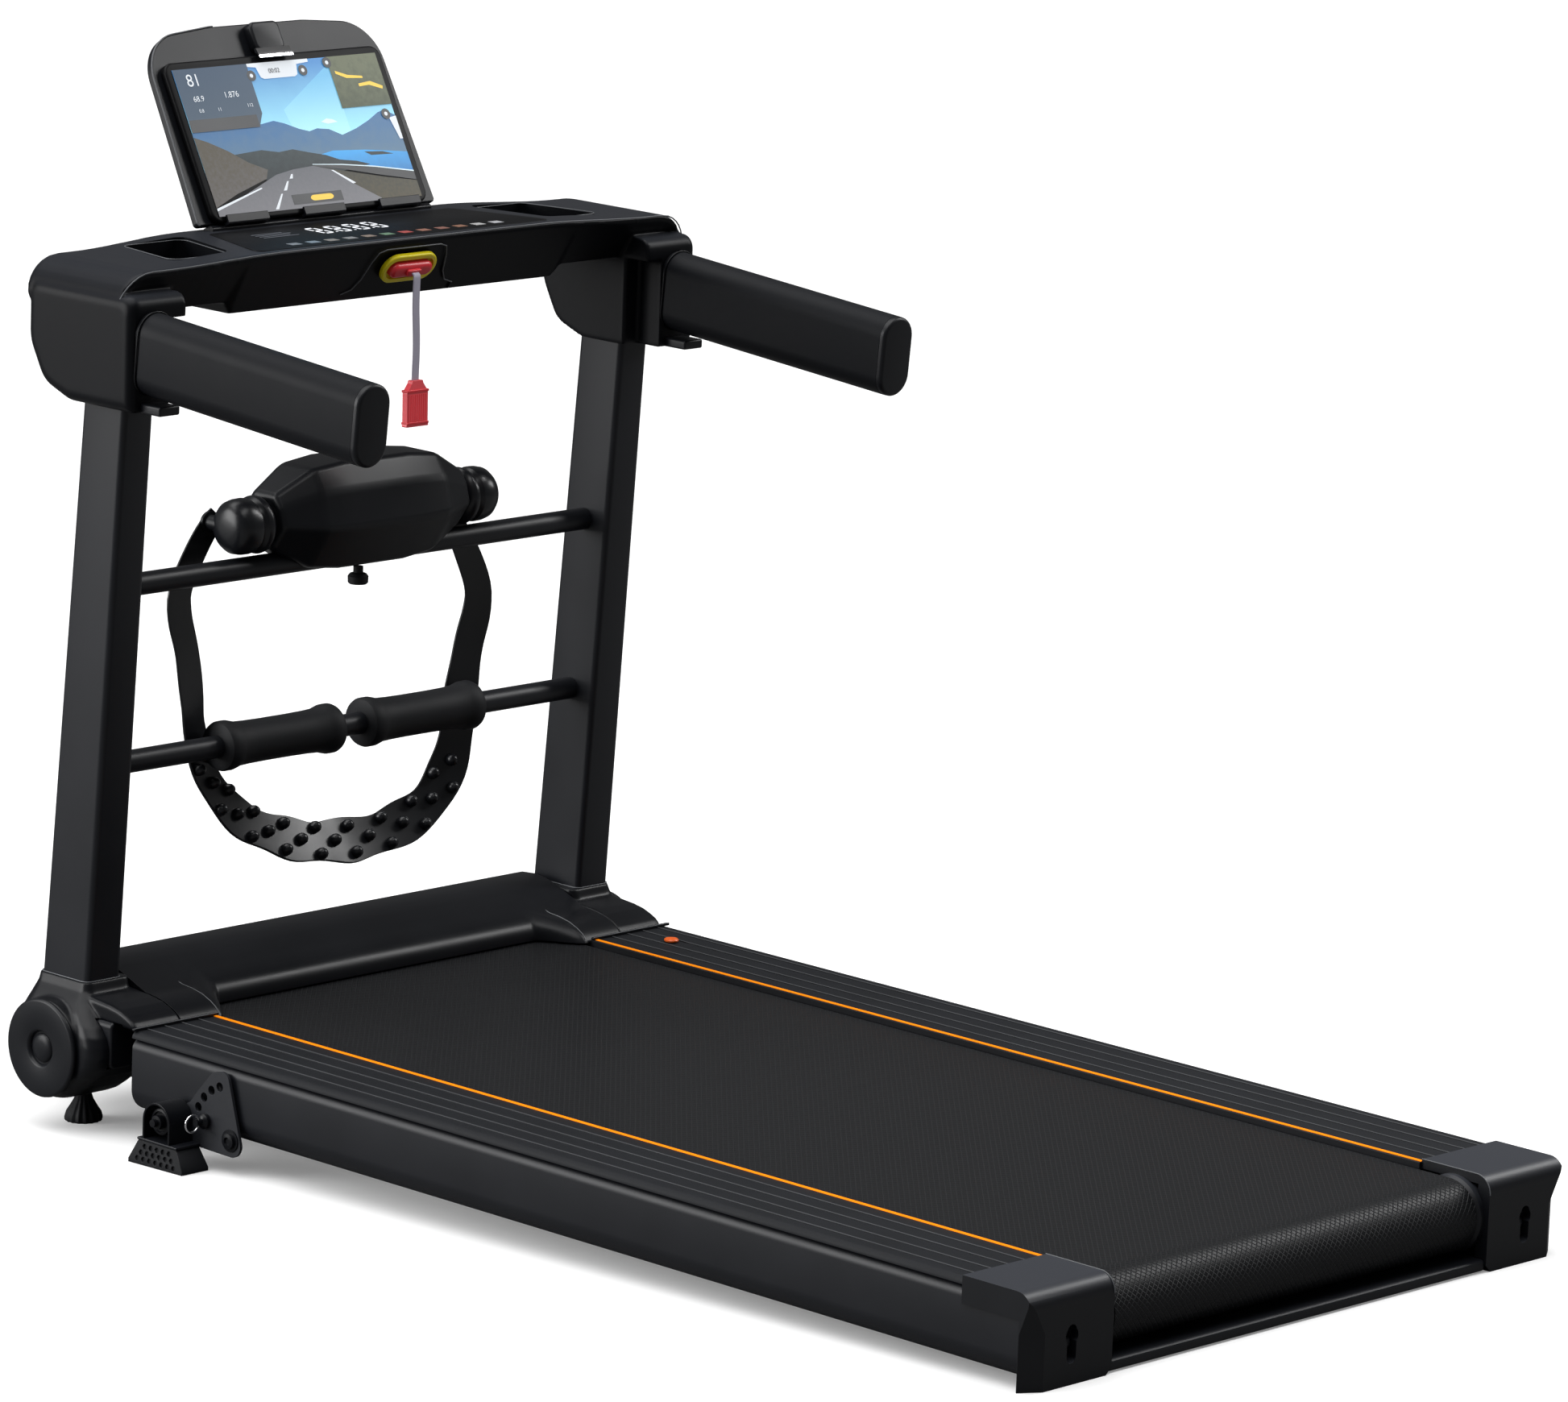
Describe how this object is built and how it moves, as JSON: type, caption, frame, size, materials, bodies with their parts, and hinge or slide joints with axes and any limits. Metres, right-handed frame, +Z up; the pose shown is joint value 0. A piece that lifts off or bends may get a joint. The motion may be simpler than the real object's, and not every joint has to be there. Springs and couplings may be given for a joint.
{
  "type": "folding motorised treadmill",
  "caption": "Folding home treadmill with ribbed foot rails, motor hood, leaning uprights, handlebars, tablet holder, belt massager, foam leg rollers and incline legs.",
  "frame": {"origin": "on the floor, at the centre of the machine's bounding box", "axes": "+X to the user's right, +Y forward from the rear of the deck to the console, +Z up; the deck rises 1.3 degrees towards the console"},
  "size_m": [0.779, 1.3636, 1.0066],
  "materials": {
    "black_coated_steel": "satin",
    "black_plastic": "matt",
    "black_rubber": "matt",
    "walking_belt": "matt, fine diamond grain",
    "bright_steel": "polished",
    "display_glass": "gloss",
    "circuit_board": "gloss",
    "deck_wood": "sealed board",
    "yellow_plastic": "satin",
    "red_plastic": "gloss",
    "orange_plastic": "satin",
    "grey_webbing": "woven"
  },
  "bodies": {
    "deck": {"side_rail_left": "black_coated_steel", "side_rail_right": "black_coated_steel", "foot_rail_left": "black_plastic", "foot_rail_right": "black_plastic", "deck_board": "deck_wood", "running_belt": "walking_belt", "end_cap_left": "black_plastic", "end_cap_right": "black_plastic", "deck_frame": "black_coated_steel", "motor_hood": "black_plastic", "motor": "black_coated_steel", "drive_belt": "black_rubber", "power_inlet": "black_plastic", "controller_board": "circuit_board"},
    "uprights": {"upright_left": "black_coated_steel", "upright_right": "black_coated_steel", "hinge_shroud_left": "black_plastic", "hinge_shroud_right": "black_plastic", "hinge_cap_left": "black_plastic", "hinge_cap_right": "black_plastic", "upper_crossbar": "black_coated_steel", "lower_crossbar": "black_coated_steel", "console_housing": "black_plastic", "console_glass": "display_glass", "handlebar_left": "black_coated_steel", "handlebar_right": "black_coated_steel", "handlebar_cap_left": "black_plastic", "handlebar_cap_right": "black_plastic", "safety_socket": "yellow_plastic", "massager_body": "black_plastic"},
    "fold_latch": {"fold_latch": "black_plastic"},
    "tablet_holder": {"tablet_panel": "black_plastic", "tablet": "display_glass"},
    "tablet_clip": {"tablet_clip": "black_plastic"},
    "safety_key": {"safety_key": "red_plastic", "lanyard": "grey_webbing", "key_clip": "red_plastic"},
    "massage_belt": {"massage_belt": "black_rubber"},
    "clamp_knob": {"clamp_knob": "black_plastic"},
    "front_roller": {"front_roller": "bright_steel"},
    "rear_roller": {"rear_roller": "bright_steel"},
    "motor_pulley": {"motor_pulley": "bright_steel"},
    "oil_port_plug": {"oil_port_plug": "orange_plastic"},
    "power_switch": {"power_switch": "red_plastic"},
    "massager_drum_left": {"massager_drum_left": "black_rubber"},
    "foam_roller_left": {"foam_roller_left": "black_rubber"},
    "levelling_foot_left": {"levelling_foot_left": "black_rubber"},
    "tension_bolt_left": {"tension_bolt_left": "bright_steel"},
    "incline_leg_left": {"incline_leg_left": "black_coated_steel", "foot_pad_left": "black_rubber"},
    "leg_wheel_left": {"leg_wheel_left": "black_plastic"},
    "pull_pin_left": {"pull_pin_left": "bright_steel"},
    "massager_drum_right": {"massager_drum_right": "black_rubber"},
    "foam_roller_right": {"foam_roller_right": "black_rubber"},
    "levelling_foot_right": {"levelling_foot_right": "black_rubber"},
    "tension_bolt_right": {"tension_bolt_right": "bright_steel"},
    "incline_leg_right": {"incline_leg_right": "black_coated_steel", "foot_pad_right": "black_rubber"},
    "leg_wheel_right": {"leg_wheel_right": "black_plastic"},
    "pull_pin_right": {"pull_pin_right": "bright_steel"}
  },
  "joints": [
    {"name": "fold_hinge", "type": "hinge", "parent": "deck", "child": "uprights", "pos_m": [0, 0.55242, 0.07898], "axis": [1, 0, 0], "range_deg": [0, 52]},
    {"name": "fold_latch_press", "type": "slide", "parent": "uprights", "child": "fold_latch", "axis": [0, 0.9997, 0.0227], "range_m": [0, 0.0045], "stiffness_N_per_m": 800},
    {"name": "tablet_holder_tilt", "type": "hinge", "parent": "uprights", "child": "tablet_holder", "pos_m": [0, 0.58388, 0.83039], "axis": [1, 0, 0], "range_deg": [0, 25]},
    {"name": "tablet_clip_lift", "type": "slide", "parent": "tablet_holder", "child": "tablet_clip", "axis": [0, 0.4648, 0.8854], "range_m": [0, 0.02], "stiffness_N_per_m": 300},
    {"name": "safety_key_pull", "type": "slide", "parent": "uprights", "child": "safety_key", "axis": [0, -0.8629, -0.5054], "range_m": [0, 0.03]},
    {"name": "massager_drum_left_spin", "type": "hinge", "parent": "uprights", "child": "massager_drum_left", "pos_m": [0, 0.52467, 0.55248], "axis": [1, 0, 0], "continuous": true},
    {"name": "massager_drum_right_spin", "type": "hinge", "parent": "uprights", "child": "massager_drum_right", "pos_m": [0, 0.52467, 0.55248], "axis": [1, 0, 0], "continuous": true},
    {"name": "massage_belt_swing", "type": "hinge", "parent": "uprights", "child": "massage_belt", "pos_m": [0, 0.52467, 0.55248], "axis": [1, 0, 0], "range_deg": [0, 35]},
    {"name": "clamp_knob_turn", "type": "hinge", "parent": "uprights", "child": "clamp_knob", "pos_m": [0, 0.52326, 0.48242], "axis": [0, -0.0227, 0.9997], "continuous": true},
    {"name": "foam_roller_left_spin", "type": "hinge", "parent": "uprights", "child": "foam_roller_left", "pos_m": [0, 0.53746, 0.34171], "axis": [1, 0, 0], "continuous": true},
    {"name": "foam_roller_right_spin", "type": "hinge", "parent": "uprights", "child": "foam_roller_right", "pos_m": [0, 0.53746, 0.34171], "axis": [1, 0, 0], "continuous": true},
    {"name": "front_roller_spin", "type": "hinge", "parent": "deck", "child": "front_roller", "pos_m": [0, 0.49752, 0.07394], "axis": [1, 0, 0], "continuous": true},
    {"name": "rear_roller_spin", "type": "hinge", "parent": "deck", "child": "rear_roller", "pos_m": [0, -0.64189, 0.04808], "axis": [1, 0, 0], "continuous": true},
    {"name": "motor_pulley_spin", "type": "hinge", "parent": "deck", "child": "motor_pulley", "pos_m": [0, 0.58232, 0.08366], "axis": [1, 0, 0], "continuous": true},
    {"name": "tension_bolt_left_turn", "type": "hinge", "parent": "deck", "child": "tension_bolt_left", "pos_m": [-0.3, -0.65193, 0.03665], "axis": [0, 0.9997, 0.0227], "continuous": true},
    {"name": "incline_leg_left_swing", "type": "hinge", "parent": "deck", "child": "incline_leg_left", "pos_m": [-0.353, 0.30437, 0.03434], "axis": [-1, 0, 0], "range_deg": [0, 60]},
    {"name": "leg_wheel_left_spin", "type": "hinge", "parent": "incline_leg_left", "child": "leg_wheel_left", "pos_m": [-0.37, 0.37419, 0.04293], "axis": [1, 0, 0], "continuous": true},
    {"name": "pull_pin_left_pull", "type": "slide", "parent": "incline_leg_left", "child": "pull_pin_left", "axis": [-1, 0, 0], "range_m": [0, 0.008], "stiffness_N_per_m": 500},
    {"name": "levelling_foot_left_screw", "type": "slide", "parent": "uprights", "child": "levelling_foot_left", "axis": [0, 0, -1], "range_m": [0, 0.01]},
    {"name": "tension_bolt_right_turn", "type": "hinge", "parent": "deck", "child": "tension_bolt_right", "pos_m": [0.3, -0.65193, 0.03665], "axis": [0, 0.9997, 0.0227], "continuous": true},
    {"name": "incline_leg_right_swing", "type": "hinge", "parent": "deck", "child": "incline_leg_right", "pos_m": [0.353, 0.30437, 0.03434], "axis": [-1, 0, 0], "range_deg": [0, 60]},
    {"name": "leg_wheel_right_spin", "type": "hinge", "parent": "incline_leg_right", "child": "leg_wheel_right", "pos_m": [0.37, 0.37419, 0.04293], "axis": [1, 0, 0], "continuous": true},
    {"name": "pull_pin_right_pull", "type": "slide", "parent": "incline_leg_right", "child": "pull_pin_right", "axis": [1, 0, 0], "range_m": [0, 0.008], "stiffness_N_per_m": 500},
    {"name": "levelling_foot_right_screw", "type": "slide", "parent": "uprights", "child": "levelling_foot_right", "axis": [0, 0, -1], "range_m": [0, 0.01]},
    {"name": "oil_port_plug_lift", "type": "slide", "parent": "deck", "child": "oil_port_plug", "axis": [0, -0.0227, 0.9997], "range_m": [0, 0.015]},
    {"name": "power_switch_rock", "type": "hinge", "parent": "deck", "child": "power_switch", "pos_m": [0.1175, 0.64117, 0.091], "axis": [1, 0, 0], "range_deg": [-8, 8]}
  ],
  "couplings": [
    {"joint": "massager_drum_right_spin", "follows": "massager_drum_left_spin", "ratio": 1},
    {"joint": "rear_roller_spin", "follows": "front_roller_spin", "ratio": 1},
    {"joint": "motor_pulley_spin", "follows": "front_roller_spin", "ratio": 2.4167}
  ]
}
